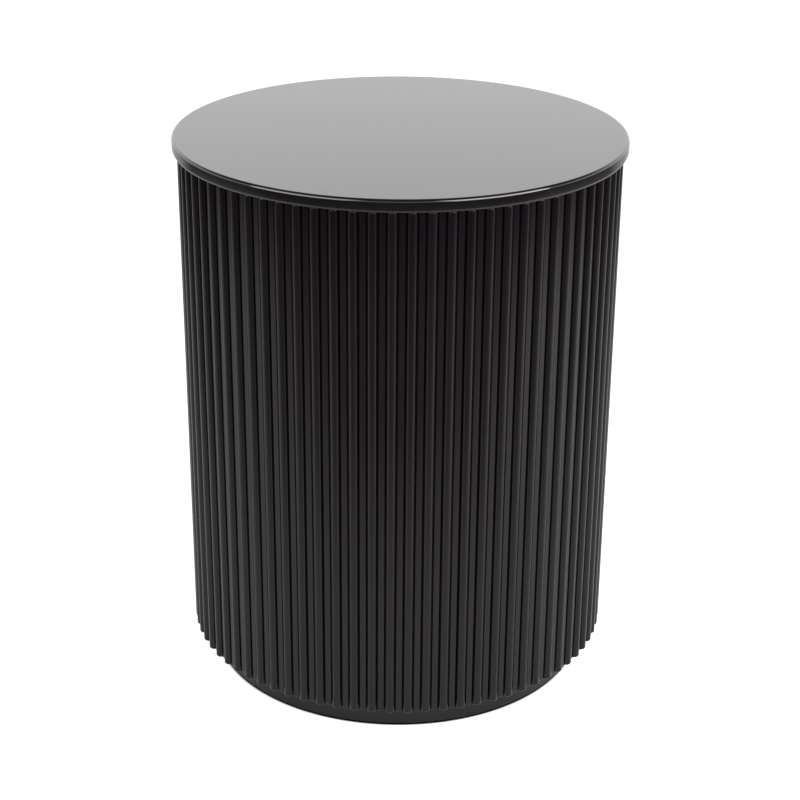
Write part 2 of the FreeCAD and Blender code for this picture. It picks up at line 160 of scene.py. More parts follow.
def pick_edges(piece: Piece, mesh: EditMesh, wanted: Callable[[Vector, Vector], bool]) -> None:
    """Select the edges whose two ends pass a test.

    Args:
        piece: The piece in edit mode.
        mesh: Its edit mesh.
        wanted: The test, given both ends of an edge.
    """
    for edge in mesh.edges:
        edge.select_set(wanted(edge.verts[0].co, edge.verts[1].co))
    bmesh.update_edit_mesh(piece.data)


def pick_faces(piece: Piece, mesh: EditMesh, wanted: Callable[[Vector, Vector], bool]) -> None:
    """Select the faces whose middle and normal pass a test.

    Args:
        piece: The piece in edit mode.
        mesh: Its edit mesh.
        wanted: The test, given a face's middle and its normal.
    """
    for face in mesh.faces:
        face.select_set(wanted(face.calc_center_median(), face.normal))
    bmesh.update_edit_mesh(piece.data)


def pick_corners(piece: Piece, mesh: EditMesh, wanted: Callable[[Vector], bool]) -> None:
    """Select the corners that pass a test.

    Args:
        piece: The piece in edit mode.
        mesh: Its edit mesh.
        wanted: The test, given a corner's place.
    """
    for corner in mesh.verts:
        corner.select_set(wanted(corner.co))
    bmesh.update_edit_mesh(piece.data)


def near(value: float, target: float, slack: float = 0.02 * MM) -> bool:
    """Whether two lengths agree within a slack."""
    return abs(value - target) < slack


def both_at_height(first: Vector, second: Vector, height: float) -> bool:
    """Whether an edge lies level at a height."""
    return near(first.z, height) and near(second.z, height)


def tidy_shell(piece: Piece) -> None:
    """Merge a piece's doubled corners and turn its faces outwards.

    Args:
        piece: A piece made by spinning or cutting.
    """
    with shaping(piece, "VERT"):
        bpy.ops.mesh.select_all(action="SELECT")
        bpy.ops.mesh.remove_doubles(threshold=0.005 * MM)
        bpy.ops.mesh.normals_make_consistent(inside=False)


def round_edges(reach: float, faces: int) -> None:
    """Round the selected edges over.

    Args:
        reach: How far the round goes from the edge.
        faces: The number of faces across it.
    """
    bpy.ops.mesh.bevel(offset=reach, segments=faces, profile=0.5, affect="EDGES")


def smooth(piece: Piece, angle: float = 40.0) -> None:
    """Shade a piece smooth up to an angle, with flat faces kept flat.

    Args:
        piece: The piece to shade.
        angle: The largest angle between smooth faces, in degrees.
    """
    put_on_bench(piece)
    bpy.ops.object.shade_smooth_by_angle(angle=math.radians(angle))
    modifier = piece.modifiers.new("flat faces stay flat", "WEIGHTED_NORMAL")
    modifier.keep_sharp = True
    bpy.ops.object.modifier_apply(modifier=modifier.name)


def copy_turned(piece: Piece, angle: float, name: str) -> Piece:
    """Copy a piece round the table's axis, with a mesh of its own.

    Args:
        piece: The piece to copy.
        angle: The turn about Z, in radians.
        name: The copy's name.

    Returns:
        The copy.
    """
    mesh = piece.data.copy()
    mesh.transform(Matrix.Rotation(angle, 4, "Z"))
    copy = bpy.data.objects.new(name, mesh)
    bpy.context.scene.collection.objects.link(copy)
    return copy


def join(pieces: list[Piece], name: str) -> Piece:
    """Join several pieces into one.

    Args:
        pieces: The pieces, which become one mesh.
        name: The joined piece's name.

    Returns:
        The joined piece.
    """
    put_on_bench(pieces[0])
    for piece in pieces:
        piece.select_set(True)
    bpy.ops.object.join()
    pieces[0].name = name
    pieces[0].data.name = name
    return pieces[0]


def remove(piece: Piece) -> None:
    """Take a pattern piece or a cutter out of the scene."""
    bpy.data.objects.remove(piece, do_unlink=True)


@dataclass(frozen=True)
class WallSection:
    """The upright section of a wall, which is spun round the table's axis."""

    inner: float
    outer: float
    bottom: float
    top: float
    lower_round: float = 0.0
    faces_in_round: int = 3

    def spin(self, name: str, start: float, sweep: float, steps: int) -> Piece:
        """Spin the section into a wall, with its outer lower corner rounded.

        Args:
            name: The wall's name.
            start: The azimuth where it starts, in radians.
            sweep: How far it is spun, in radians.
            steps: The number of steps round.

        Returns:
            The wall.
        """
        clear_selection()
        bpy.ops.mesh.primitive_plane_add(size=1.0, rotation=(math.pi / 2, 0.0, 0.0))
        section = bpy.context.view_layer.objects.active
        section.scale = (self.outer - self.inner, self.top - self.bottom, 1.0)
        section.location = ((self.outer + self.inner) / 2, 0.0, (self.top + self.bottom) / 2)
        wall = new_from_primitive(name)
        if self.lower_round > 0.0:
            with shaping(wall, "VERT") as mesh:
                pick_corners(wall, mesh, lambda p: near(p.x, self.outer) and near(p.z, self.bottom))
                bpy.ops.mesh.bevel(
                    offset=self.lower_round, segments=self.faces_in_round, profile=0.5, affect="VERTICES"
                )
        wall.data.transform(Matrix.Rotation(start - math.pi / 2, 4, "Z"))
        with shaping(wall, "FACE"):
            bpy.ops.mesh.select_all(action="SELECT")
            bpy.ops.mesh.spin(steps=steps, angle=sweep, center=(0.0, 0.0, 0.0), axis=(0.0, 0.0, -1.0))
        tidy_shell(wall)
        return wall


# Finishes.


@dataclass
class Shader:
    """A material or the world under construction, with short ways to add and link its nodes."""

    target: bpy.types.Material | bpy.types.World
    nodes: bpy.types.Nodes = field(init=False)
    links: bpy.types.NodeLinks = field(init=False)

    def __post_init__(self) -> None:
        """Clear the target's nodes."""
        self.target.use_nodes = True
        self.nodes = self.target.node_tree.nodes
        self.links = self.target.node_tree.links
        self.nodes.clear()

    def add(self, kind: str, **settings: object) -> bpy.types.Node:
        """Add a node.

        Args:
            kind: The node's type name.
            **settings: Properties, or input values by their names with spaces as underscores.

        Returns:
            The node.
        """
        node = self.nodes.new(kind)
        for key, value in settings.items():
            if hasattr(node, key):
                setattr(node, key, value)
            else:
                node.inputs[key.replace("_", " ")].default_value = value
        return node

    def link(self, start: Socket, end: Socket) -> None:
        """Link two sockets."""
        self.links.new(start, end)

    def math(self, operation: str, first: Socket | float, second: Socket | float | None = None) -> Socket:
        """Add a Math node.

        Args:
            operation: The Math node's operation.
            first: The first input.
            second: The second input, if the operation has one.

        Returns:
            The result.
        """
        node = self.add("ShaderNodeMath", operation=operation)
        for place, value in enumerate((first, second)):
            if isinstance(value, Socket):
                self.link(value, node.inputs[place])
            elif value is not None:
                node.inputs[place].default_value = value
        return node.outputs[0]

    def weigh(self, first: Socket, second: Socket, share: float) -> Socket:
        """Add two patterns up by their shares.

        Args:
            first: The first pattern.
            second: The second pattern.
            share: The first one's share of the sum.

        Returns:
            The sum.
        """
        rest = self.math("MULTIPLY", second, 1.0 - share)
        return self.math("ADD", self.math("MULTIPLY", first, share), rest)

    def place(self) -> Socket:
        """Give the piece's own coordinates in metres."""
        return self.nodes.new("ShaderNodeTexCoord").outputs["Object"]

    def part(self, vector: Socket, axis: str) -> Socket:
        """Give a vector's part along X, Y or Z.

        Args:
            vector: The vector.
            axis: The axis.

        Returns:
            The part.
        """
        node = self.nodes.new("ShaderNodeSeparateXYZ")
        self.link(vector, node.inputs[0])
        return node.outputs[axis]

    def from_axis(self) -> Socket:
        """Give a point's distance from the table's upright axis.

        Returns:
            The distance in metres.
        """
        flat = self.add("ShaderNodeVectorMath", operation="MULTIPLY")
        flat.inputs[1].default_value = (1.0, 1.0, 0.0)
        self.link(self.place(), flat.inputs[0])
        length = self.add("ShaderNodeVectorMath", operation="LENGTH")
        self.link(flat.outputs["Vector"], length.inputs[0])
        return length.outputs["Value"]

    def stretched(self, scale: tuple[float, float, float]) -> Socket:
        """Give the piece's coordinates scaled along its axes, so that a pattern stretches.

        Args:
            scale: The scale along X, Y and Z. A pattern stretches where it is small.

        Returns:
            The scaled coordinates.
        """
        node = self.nodes.new("ShaderNodeMapping")
        node.inputs["Scale"].default_value = scale
        self.link(self.place(), node.inputs["Vector"])
        return node.outputs["Vector"]

    def noise(self, where: Socket, scale: float, detail: float = 2.0) -> Socket:
        """Add a noise pattern.

        Args:
            where: The coordinates it reads.
            scale: Its number of features per metre.
            detail: Its finer layers.

        Returns:
            The pattern's factor, about 0.5 on average.
        """
        node = self.add("ShaderNodeTexNoise", Scale=scale, Detail=detail, Roughness=0.55)
        self.link(where, node.inputs["Vector"])
        return node.outputs["Fac"]

    def spread(self, pattern: Socket, low: float, high: float) -> Socket:
        """Map the middle range of a pattern, from 0.3 to 0.7, to a pair of values."""
        return Fade(0.3, 0.7, low, high).of(self, pattern)

    def blend(self, factor: Socket, first: Colour, second: Colour) -> Socket:
        """Blend two colours by a factor.

        Args:
            factor: 0 for the first colour, 1 for the second.
            first: The first colour.
            second: The second colour.

        Returns:
            The blended colour.
        """
        node = self.add("ShaderNodeMix", data_type="RGBA")
        ends = [socket for socket in node.inputs if socket.type == "RGBA"]
        for socket, colour in zip(ends, (first, second)):
            socket.default_value = (*colour, 1.0)
        self.link(factor, node.inputs["Factor"])
        return next(socket for socket in node.outputs if socket.type == "RGBA")

    def bump(self, height: Socket, depth: float) -> Socket:
        """Turn a height pattern into a surface normal.

        Args:
            height: The pattern, 0 to 1.
            depth: Its height in metres.

        Returns:
            The normal.
        """
        node = self.add("ShaderNodeBump", Strength=1.0, Distance=depth)
        self.link(height, node.inputs["Height"])
        return node.outputs["Normal"]

    def surface(self, **sockets: object) -> None:
        """Add the surface shader and the output.

        Args:
            **sockets: Values of the shader's sockets by name, with spaces as underscores.
        """
        shader = self.nodes.new("ShaderNodeBsdfPrincipled")
        output = self.nodes.new("ShaderNodeOutputMaterial")
        self.link(shader.outputs["BSDF"], output.inputs["Surface"])
        for key, value in sockets.items():
            socket = shader.inputs[key.replace("_", " ")]
            if isinstance(value, Socket):
                self.link(value, socket)
            else:
                socket.default_value = value


@dataclass(frozen=True)
class Fade:
    """A value that changes steadily over a range and holds beyond its ends."""

    start: float
    end: float
    first: float = 0.0
    last: float = 1.0
    eased: bool = False

    def of(self, shader: Shader, value: Socket) -> Socket:
        """Map a value by the fade.

        Args:
            shader: The nodes it is added to.
            value: The value, which runs from the fade's start to its end.

        Returns:
            The mapped value.
        """
        node = shader.add(
            "ShaderNodeMapRange", interpolation_type="SMOOTHSTEP" if self.eased else "LINEAR",
            From_Min=self.start, From_Max=self.end, To_Min=self.first, To_Max=self.last,
        )
        shader.link(value, node.inputs["Value"])
        return node.outputs["Result"]


@dataclass(frozen=True)
class Lacquer:
    """Sprayed satin lacquer, near black, with a fine mist grain and a faint unevenness of gloss."""

    name: str
    colour: Colour
    paler: Colour
    roughness: tuple[float, float]
    ior: float = 1.5
    coat: float = 0.0
    coat_roughness: float = 0.1
    coat_ior: float = 1.5
    coat_from_slope: float = 0.40
    tone_by_batten: bool = False
    groove_radius: float = 0.0
    groove_roughness: float = 0.75
    groove_blur: float = 0.5 * MM
    cloud_scale: float = 9.0
    mist_scale: float = 1500.0
    mist_depth: float = 0.002 * MM
    peel_scale: float = 320.0
    peel_depth: float = 0.004 * MM

    def make(self) -> bpy.types.Material:
        """Build the lacquer.

        Returns:
            The material.
        """
        shader = Shader(bpy.data.materials.new(self.name))
        place = shader.place()
        clouds = shader.noise(place, self.cloud_scale, detail=3.0)
        mist = shader.noise(place, self.mist_scale)
        peel = shader.noise(place, self.peel_scale, detail=1.0)
        mist_height = shader.math("MULTIPLY", mist, self.mist_depth / self.peel_depth)
        tone = shader.weigh(clouds, mist, share=0.5)
        if self.tone_by_batten:
            tone = shader.weigh(tone, self._batten_tone(shader), share=0.6)
        roughness = shader.spread(tone, *self.roughness)
        if self.groove_radius > 0.0:
            roughness = self._dry_grooves(shader, roughness)
        shader.surface(
            Base_Color=shader.blend(shader.spread(tone, 0.0, 1.0), self.colour, self.paler),
            Roughness=roughness,
            IOR=self.ior,
            Coat_Weight=self._polish(shader) if self.coat > 0.0 else 0.0,
            Coat_Roughness=self.coat_roughness,
            Coat_IOR=self.coat_ior,
            Normal=shader.bump(shader.math("ADD", mist_height, peel), self.peel_depth),
        )
        return shader.target

    def _polish(self, shader: Shader) -> Socket:
        """Polish what faces up, and leave upright edges as they were sprayed.

        Args:
            shader: The lacquer under construction.

        Returns:
            How much of the coat there is.
        """
        facing = shader.nodes.new("ShaderNodeTexCoord").outputs["Normal"]
        return Fade(0.0, self.coat_from_slope, 0.0, self.coat).of(shader, shader.part(facing, "Z"))

    def _dry_grooves(self, shader: Shader, roughness: Socket) -> Socket:
        """Roughen the lacquer down in the grooves beside the battens, where the spray lands dry.

        Args:
            shader: The lacquer under construction.
            roughness: The roughness of the open surface.

        Returns:
            The roughness everywhere.
        """
        floor = self.groove_radius - self.groove_blur
        dryness = Fade(floor, self.groove_radius, self.groove_roughness, 0.0)
        return shader.math("MAXIMUM", dryness.of(shader, shader.from_axis()), roughness)

    def _batten_tone(self, shader: Shader) -> Socket:
        """Give every batten a tone of its own, by its azimuth.

        Args:
            shader: The lacquer under construction.

        Returns:
            A factor that is the same all over a batten.
        """
        place = shader.place()
        before = shader.math("MULTIPLY", shader.part(place, "Y"), -1.0)
        azimuth = shader.math("ARCTAN2", shader.part(place, "X"), before)
        half_before_front = 0.5 - FRONT_BATTEN_AZIMUTH / BATTEN_PITCH
        number = shader.math(
            "FLOOR", shader.math("ADD", shader.math("DIVIDE", azimuth, BATTEN_PITCH), half_before_front)
        )
        chance = shader.add("ShaderNodeTexWhiteNoise", noise_dimensions="1D")
        shader.link(number, chance.inputs["W"])
        return chance.outputs["Value"]


@dataclass(frozen=True)
class SawnWood:
    """Bare softwood or hardwood with its grain along Z."""

    name: str
    light: Colour
    dark: Colour
    ring_scale: float
    along_grain: float
    pore_scale: float = 600.0
    pore_depth: float = 0.05 * MM
    roughness: float = 0.6

    def make(self) -> bpy.types.Material:
        """Build the wood.

        Returns:
            The material.
        """
        shader = Shader(bpy.data.materials.new(self.name))
        where = shader.stretched((1.0, 1.0, self.along_grain))
        rings = shader.add(
            "ShaderNodeTexWave", Scale=self.ring_scale, Distortion=6.0, Detail=3.0, Detail_Scale=1.5
        )
        shader.link(where, rings.inputs["Vector"])
        pores = shader.noise(where, self.pore_scale, detail=3.0)
        tone = shader.weigh(rings.outputs["Fac"], pores, share=0.7)
        shader.surface(
            Base_Color=shader.blend(tone, self.light, self.dark),
            Roughness=self.roughness,
            Normal=shader.bump(pores, self.pore_depth),
        )
        return shader.target


@dataclass(frozen=True)
class Plywood:
    """Birch plywood: flat veneered faces and light and dark plies on its edges."""

    name: str
    light: Colour = (0.56, 0.40, 0.24)
    dark: Colour = (0.36, 0.22, 0.12)
    ply: float = 1.5 * MM
    along_grain: float = 0.08
    grain_scale: float = 180.0
    grain_depth: float = 0.04 * MM
    roughness: float = 0.65

    def make(self) -> bpy.types.Material:
        """Build the plywood.

        Returns:
            The material.
        """
        shader = Shader(bpy.data.materials.new(self.name))
        layer = shader.math("PINGPONG", shader.part(shader.place(), "Z"), self.ply)
        edge = shader.math("DIVIDE", layer, self.ply)
        where = shader.stretched((1.0, self.along_grain, 1.0))
        grain = shader.noise(where, self.grain_scale, detail=4.0)
        shader.surface(
            Base_Color=shader.blend(shader.weigh(edge, grain, share=0.45), self.light, self.dark),
            Roughness=self.roughness,
            Normal=shader.bump(grain, self.grain_depth),
        )
        return shader.target


@dataclass(frozen=True)
class GrainedSurface:
    """Plated steel or moulded plastic: one colour with a fine, cloudy grain."""

    name: str
    colour: Colour
    second_tone: float
    roughness: tuple[float, float]
    grain_scale: float
    grain_depth: float
    detail: float = 2.0
    metallic: float = 0.0

    def make(self) -> bpy.types.Material:
        """Build the steel or plastic.

        Returns:
            The material.
        """
        shader = Shader(bpy.data.materials.new(self.name))
        grain = shader.noise(shader.place(), self.grain_scale, self.detail)
        other = tuple(self.second_tone * part for part in self.colour)
        shader.surface(
            Base_Color=shader.blend(grain, self.colour, other),
            Metallic=self.metallic,
            Roughness=shader.spread(grain, *self.roughness),
            Normal=shader.bump(grain, self.grain_depth),
        )
        return shader.target


# Pieces of the table.


def hand_over(piece: Piece, material: bpy.types.Material, nodes: Iterable[str]) -> None:
    """Dress a finished piece and put it in the place of its solids.

    Args:
        piece: The finished piece.
        material: Its finish.
        nodes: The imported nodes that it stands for.
    """
    piece.data.materials.append(material)
    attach(piece, "root")
    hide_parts(*nodes)
    LOG.info("%s: %d faces", piece.name, len(piece.data.polygons))


@dataclass
class TableTop:
    """The disc top with its rounded upper and lower edges."""

    node: str = "table_top"
    upper_round: float = 2.5 * MM
    upper_round_faces: int = 8
    lower_round: float = 3.0 * MM
    lower_round_faces: int = 6
    rim_band: float = 1.0 * MM
    sides: int = 256
    finish: Lacquer = Lacquer(
        "top lacquer", (0.0034, 0.0019, 0.0031), (0.0044, 0.0028, 0.0041), (0.09, 0.12),
        coat=1.0, coat_roughness=0.05,
    )

    def build(self) -> None:
        """Model the top from one disc."""
        low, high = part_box(self.node)
        clear_selection()
        bpy.ops.mesh.primitive_cylinder_add(
            vertices=self.sides, radius=(high.x - low.x) / 2, depth=high.z - low.z,
            location=(0.0, 0.0, (low.z + high.z) / 2), end_fill_type="NGON",
        )
        top = new_from_primitive("disc_top")
        for height, reach, faces in (
            (high.z, self.upper_round, self.upper_round_faces),
            (low.z, self.lower_round, self.lower_round_faces),
        ):
            with shaping(top) as mesh:
                pick_edges(top, mesh, lambda a, b, z=height: both_at_height(a, b, z))
                round_edges(reach, faces)
        for rise in (1.0, -1.0):
            with shaping(top, "FACE") as mesh:
                pick_faces(top, mesh, lambda middle, normal, up=rise: normal.z * up > LEVEL)
                bpy.ops.mesh.inset(thickness=self.rim_band, depth=0.0)
        smooth(top)
        hand_over(top, self.finish.make(), [self.node])


@dataclass
class BattenRing:
    """The half-round battens all round the drum, in one panel for each side."""

    width: float = 9.2 * MM
    depth: float = 5.2 * MM
    end_round: float = 1.6 * MM
    end_round_faces: int = 3
    sides: int = 40
    finish: Lacquer = Lacquer(
        "batten lacquer", (0.0022, 0.0006, 0.0018), (0.0034, 0.0016, 0.0031), (0.16, 0.20), ior=1.39,
        tone_by_batten=True, groove_radius=192.1 * MM,
    )

    def build(self) -> None:
        """Model one batten and copy it round the drum."""
        pattern = self._pattern()
        material = self.finish.make()
        per_panel = BATTEN_COUNT // len(Side)
        for quarter, side in enumerate(Side):
            first = quarter * per_panel - per_panel // 2
            copies = [
                copy_turned(pattern, FRONT_BATTEN_AZIMUTH + number * BATTEN_PITCH, f"batten_{number}")
                for number in range(first, first + per_panel)
            ]
            panel = join(copies, f"batten_panel_{side.value}")
            hand_over(panel, material, [f"battens_{side.value}"])
        remove(pattern)

    def _pattern(self) -> Piece:
        """Model the batten at azimuth 0, from a cylinder that is cut along its length.

        Returns:
            The pattern batten.
        """
        low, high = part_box(f"battens_{Side.FRONT.value}")
        crest = low.y
        back = crest + self.depth
        arc = (self.width ** 2 / 4.0 + self.depth ** 2) / (2.0 * self.depth)
        clear_selection()
        bpy.ops.mesh.primitive_cylinder_add(
            vertices=self.sides, radius=arc, depth=high.z - low.z,
            location=(0.0, arc + crest, (low.z + high.z) / 2), end_fill_type="NGON",
        )
        batten = new_from_primitive("batten_pattern")
        with shaping(batten, "FACE"):
            bpy.ops.mesh.select_all(action="SELECT")
            bpy.ops.mesh.bisect(
                plane_co=(0.0, back, 0.0), plane_no=(0.0, 1.0, 0.0), use_fill=True, clear_outer=True
            )
        with shaping(batten) as mesh:
            pick_edges(
                batten, mesh,
                lambda a, b: near(a.z, b.z) and not (near(a.y, back) and near(b.y, back)),
            )
            round_edges(self.end_round, self.end_round_faces)
        tidy_shell(batten)
        smooth(batten, angle=35.0)
        return batten


@dataclass
class DrumSheet:
    """The bent sheet behind the battens, housed for each batten, with its seam at the back."""

    node: str = "drum_sheet"
    steps_each: int = 15
    steps_strip: int = 5
    housing_depth: float = 1.7 * MM
    thickness: float = 5.7 * MM
    seam_gap: float = 0.4 * MM
    seam_azimuth: float = FRONT_BATTEN_AZIMUTH + math.pi
    lower_round: float = 1.2 * MM
    lower_round_faces: int = 3
    strip_edge: float = 0.25 * MM
    strip_edge_faces: int = 2
    finish: Lacquer = Lacquer(
        "drum lacquer", (0.0021, 0.0005, 0.0017), (0.0030, 0.0013, 0.0026), (0.12, 0.16), ior=1.42,
        groove_radius=191.9 * MM,
    )

    def build(self) -> None:
        """Spin the sheet's section round from the seam and raise the strips between the housings."""
        low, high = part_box(self.node)
        outer = high.x
        floor = outer - self.housing_depth
        gap = self.seam_gap / outer
        sheet = WallSection(outer - self.thickness, floor, low.z, high.z).spin(
            "drum_wall", self.seam_azimuth + gap / 2, FULL_TURN - gap, BATTEN_COUNT * self.steps_each
        )
        with shaping(sheet, "FACE") as mesh:
            pick_faces(sheet, mesh, lambda middle, normal: self._on_strip(middle, normal, floor))
            bpy.ops.mesh.extrude_region_shrink_fatten(
                TRANSFORM_OT_shrink_fatten={"value": self.housing_depth}
            )
        with shaping(sheet) as mesh:
            pick_edges(sheet, mesh, lambda a, b: self._strip_border(a, b, floor))
            bpy.ops.mesh.dissolve_edges(use_verts=True)
        with shaping(sheet) as mesh:
            pick_edges(sheet, mesh, lambda a, b: self._strip_border(a, b, outer))
            round_edges(self.strip_edge, self.strip_edge_faces)
        with shaping(sheet) as mesh:
            pick_edges(
                sheet, mesh,
                lambda a, b: both_at_height(a, b, low.z)
                and near(min(a.xy.length, b.xy.length), outer, slack=0.1 * MM),
            )
            round_edges(self.lower_round, self.lower_round_faces)
        smooth(sheet)
        hand_over(sheet, self.finish.make(), [self.node])

    def _steps_from_batten(self, place: Vector) -> float:
        """Count the steps from a place to the middle of the nearest batten.

        Args:
            place: A point on the wall.

        Returns:
            The steps, from 0 to half a batten's share.
        """
        turns = (math.atan2(place.x, -place.y) - self.seam_azimuth) / BATTEN_PITCH
        return abs(turns - round(turns)) * self.steps_each

    def _on_strip(self, middle: Vector, normal: Vector, radius: float) -> bool:
        """Whether a face lies on a strip between two housings.

        Args:
            middle: The face's middle.
            normal: Its normal.
            radius: The wall's outer radius.

        Returns:
            Whether it is on the wall's outer side and between two housings.
        """
        distance = middle.xy.length
        outward = near(distance, radius, slack=0.5 * MM) and normal.xy.dot(middle.xy) > 0.9 * distance
        return outward and self._steps_from_batten(middle) > (self.steps_each - self.steps_strip) / 2

    def _strip_border(self, first: Vector, second: Vector, radius: float) -> bool:
        """Whether an edge is the long border of a strip, at its top or its foot.

        Args:
            first: One end of the edge.
            second: Its other end.
            radius: The radius of the strips' tops, or of their feet.

        Returns:
            Whether it is such a border at that radius.
        """
        upright = abs(first.z - second.z) > 1.0 * MM
        slack = 0.05 * MM
        level = near(first.xy.length, radius, slack) and near(second.xy.length, radius, slack)
        border = (self.steps_each - self.steps_strip) / 2
        return upright and level and near(self._steps_from_batten(first), border, slack=0.1)


@dataclass
class Plinth:
    """The plain ring that the drum stands on, set back under it."""

    node: str = "plinth_ring"
    wall: float = 15.0 * MM
    lower_round: float = 1.0 * MM
    steps: int = 192
    finish: Lacquer = Lacquer(
        "plinth lacquer", (0.0042, 0.0025, 0.0044), (0.0066, 0.0047, 0.0069), (0.22, 0.28), ior=1.42
    )

    def build(self) -> None:
        """Spin the ring's section all the way round."""
        low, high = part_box(self.node)
        section = WallSection(high.x - self.wall, high.x, low.z, high.z, self.lower_round)
        ring = section.spin("plinth_wall", 0.0, FULL_TURN, self.steps)
        smooth(ring)
        hand_over(ring, self.finish.make(), [self.node])


@dataclass
class ScrewRing:
    """Six countersunk wood screws on a circle, with crossed recesses in their heads."""

    node: str
    ring_radius: float
    head_diameter: float = 7.0 * MM
    head_depth: float = 2.2 * MM
    head_edge: float = 0.15 * MM
    head_edge_faces: int = 2
    shank_diameter: float = 3.5 * MM
    tip: float = 3.0 * MM
    tip_share: float = 0.12
    sides: int = 24
    count: int = 6
    recess_reach: float = 3.6 * MM
    recess_width: float = 0.9 * MM
    recess_depth: float = 1.2 * MM
    recess_taper: float = 0.55

    def build(self, material: bpy.types.Material) -> None:
        """Model one screw and copy it round its circle.

        Args:
            material: The steel finish.
        """
        low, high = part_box(self.node)
        pattern = self._pattern(low.z, high.z)
        copies = [
            copy_turned(pattern, number * FULL_TURN / self.count, f"{self.node}_{number}")
            for number in range(self.count)
        ]
        ring = join(copies, f"{self.node}_set")
        remove(pattern)
        hand_over(ring, material, [self.node])

    def _pattern(self, head_face: float, point: float) -> Piece:
        """Model the screw that stands on the X axis, its head below.

        Args:
            head_face: The height of the head's flat face.
            point: The height of the screw's point.

        Returns:
            The pattern screw.
        """
        clear_selection()
        bpy.ops.mesh.primitive_cylinder_add(
            vertices=self.sides, radius=self.shank_diameter / 2, depth=point - head_face,
            location=(self.ring_radius, 0.0, (point + head_face) / 2), end_fill_type="NGON",
        )
        screw = new_from_primitive("screw_pattern")
        for height, offset, ratio in (
            (head_face, self.head_depth, self.head_diameter / self.shank_diameter),
            (point, -self.tip, self.tip_share),
        ):
            with shaping(screw, "VERT") as mesh:
                pick_corners(screw, mesh, lambda p, z=height: near(p.z, z))
                bpy.ops.transform.translate(value=(0.0, 0.0, offset))
            with shaping(screw, "FACE") as mesh:
                pick_faces(
                    screw, mesh, lambda m, n, z=height + offset, up=-offset: near(m.z, z) and n.z * up > 0
                )
                bpy.ops.mesh.extrude_region_move(TRANSFORM_OT_translate={"value": (0.0, 0.0, -offset)})
                bpy.ops.transform.resize(
                    value=(ratio, ratio, 1.0), center_override=(self.ring_radius, 0.0, height)
                )
        with shaping(screw) as mesh:
            pick_edges(screw, mesh, lambda a, b: both_at_height(a, b, head_face))
            round_edges(self.head_edge, self.head_edge_faces)
        self._cut_recess(screw, head_face)
        smooth(screw, angle=35.0)
        return screw

    def _cut_recess(self, screw: Piece, head_face: float) -> None:
        """Cut the crossed recess into the head.

        Args:
            screw: The pattern screw.
            head_face: The height of the head's flat face.
        """
        bottom = (self.ring_radius, 0.0, head_face + self.recess_depth)
        for long_way in (0, 1):
            size = [self.recess_width, self.recess_width, 2.0 * self.recess_depth]
            size[long_way] = self.recess_reach
            clear_selection()
            bpy.ops.mesh.primitive_cube_add(size=1.0, location=(self.ring_radius, 0.0, head_face))
            bpy.context.view_layer.objects.active.scale = size
            cutter = new_from_primitive("recess_cutter")
            with shaping(cutter, "FACE") as mesh:
                pick_faces(cutter, mesh, lambda middle, normal: normal.z > LEVEL)
                bpy.ops.transform.resize(
                    value=(self.recess_taper, self.recess_taper, 1.0), center_override=bottom
                )
            put_on_bench(screw)
            cut = screw.modifiers.new("recess", "BOOLEAN")
            cut.operation = "DIFFERENCE"
            cut.solver = "EXACT"
            cut.object = cutter
            bpy.ops.object.modifier_apply(modifier=cut.name)
            remove(cutter)


@dataclass
class CarriedNodes:
    """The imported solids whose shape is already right, which get their finishes here."""

    nodes: dict[str, Piece]
    plywood: Plywood = Plywood("birch plywood")
    pine: SawnWood = SawnWood("planed pine", (0.66, 0.45, 0.24), (0.48, 0.28, 0.13), 55.0, 0.06)
    beech: SawnWood = SawnWood("turned beech", (0.60, 0.38, 0.24), (0.46, 0.27, 0.16), 160.0, 0.1)
    board: Lacquer = Lacquer(
        "board paint", (0.0075, 0.0072, 0.0077), (0.0140, 0.0135, 0.0142), (0.38, 0.50)
    )
    glides: GrainedSurface = GrainedSurface(
        "glide plastic", (0.03, 0.03, 0.03), second_tone=1.4, roughness=(0.42, 0.55),
        grain_scale=2500.0, grain_depth=0.02 * MM,
    )

    def dress(self, steel: bpy.types.Material) -> None:
        """Give each carried solid its finish.

        Args:
            steel: The finish of the screws.
        """
        self._dress_some(self.plywood.make(), (
            "upper_former", "middle_former", "lower_former", "seam_splice_lower", "seam_splice_upper"))
        self._dress_some(self.pine.make(), (
            "post_rear_right", "post_rear_left", "post_front_left", "post_front_right"))
        self._dress_some(self.beech.make(), ("post_dowels",))
        self._dress_some(self.board.make(), ("base_board",))
        self._dress_some(self.glides.make(), ("floor_glides",))
        self._dress_some(steel, ("top_screws",))

    def _dress_some(self, material: bpy.types.Material, names: Iterable[str]) -> None:
        """Give one finish to some of the solids.

        Args:
            material: The finish.
            names: The nodes of those solids.
        """
        for name in names:
            node = self.nodes[name]
            for place in range(len(node.data.materials)):
                node.data.materials[place] = material
            LOG.info("%s: %s", name, material.name)


# Studio.


def seen_directly(shader: Shader, straight: float, in_gloss: float) -> Socket:
    """Tell the rays that see the background from those that light things.

    Args:
        shader: The floor's or the world's nodes.
        straight: The value for the camera's rays.
        in_gloss: The value for rays in gloss or through glass.

    Returns:
        One of the two values, and 0 for all other rays.
    """
    path = shader.nodes.new("ShaderNodeLightPath")
    either = shader.math("ADD", path.outputs["Is Glossy Ray"], path.outputs["Is Transmission Ray"])
    mirrored = shader.math("MINIMUM", either, 1.0)
    return shader.math(
        "ADD",
        shader.math("MULTIPLY", path.outputs["Is Camera Ray"], straight),
        shader.math("MULTIPLY", mirrored, in_gloss),
    )


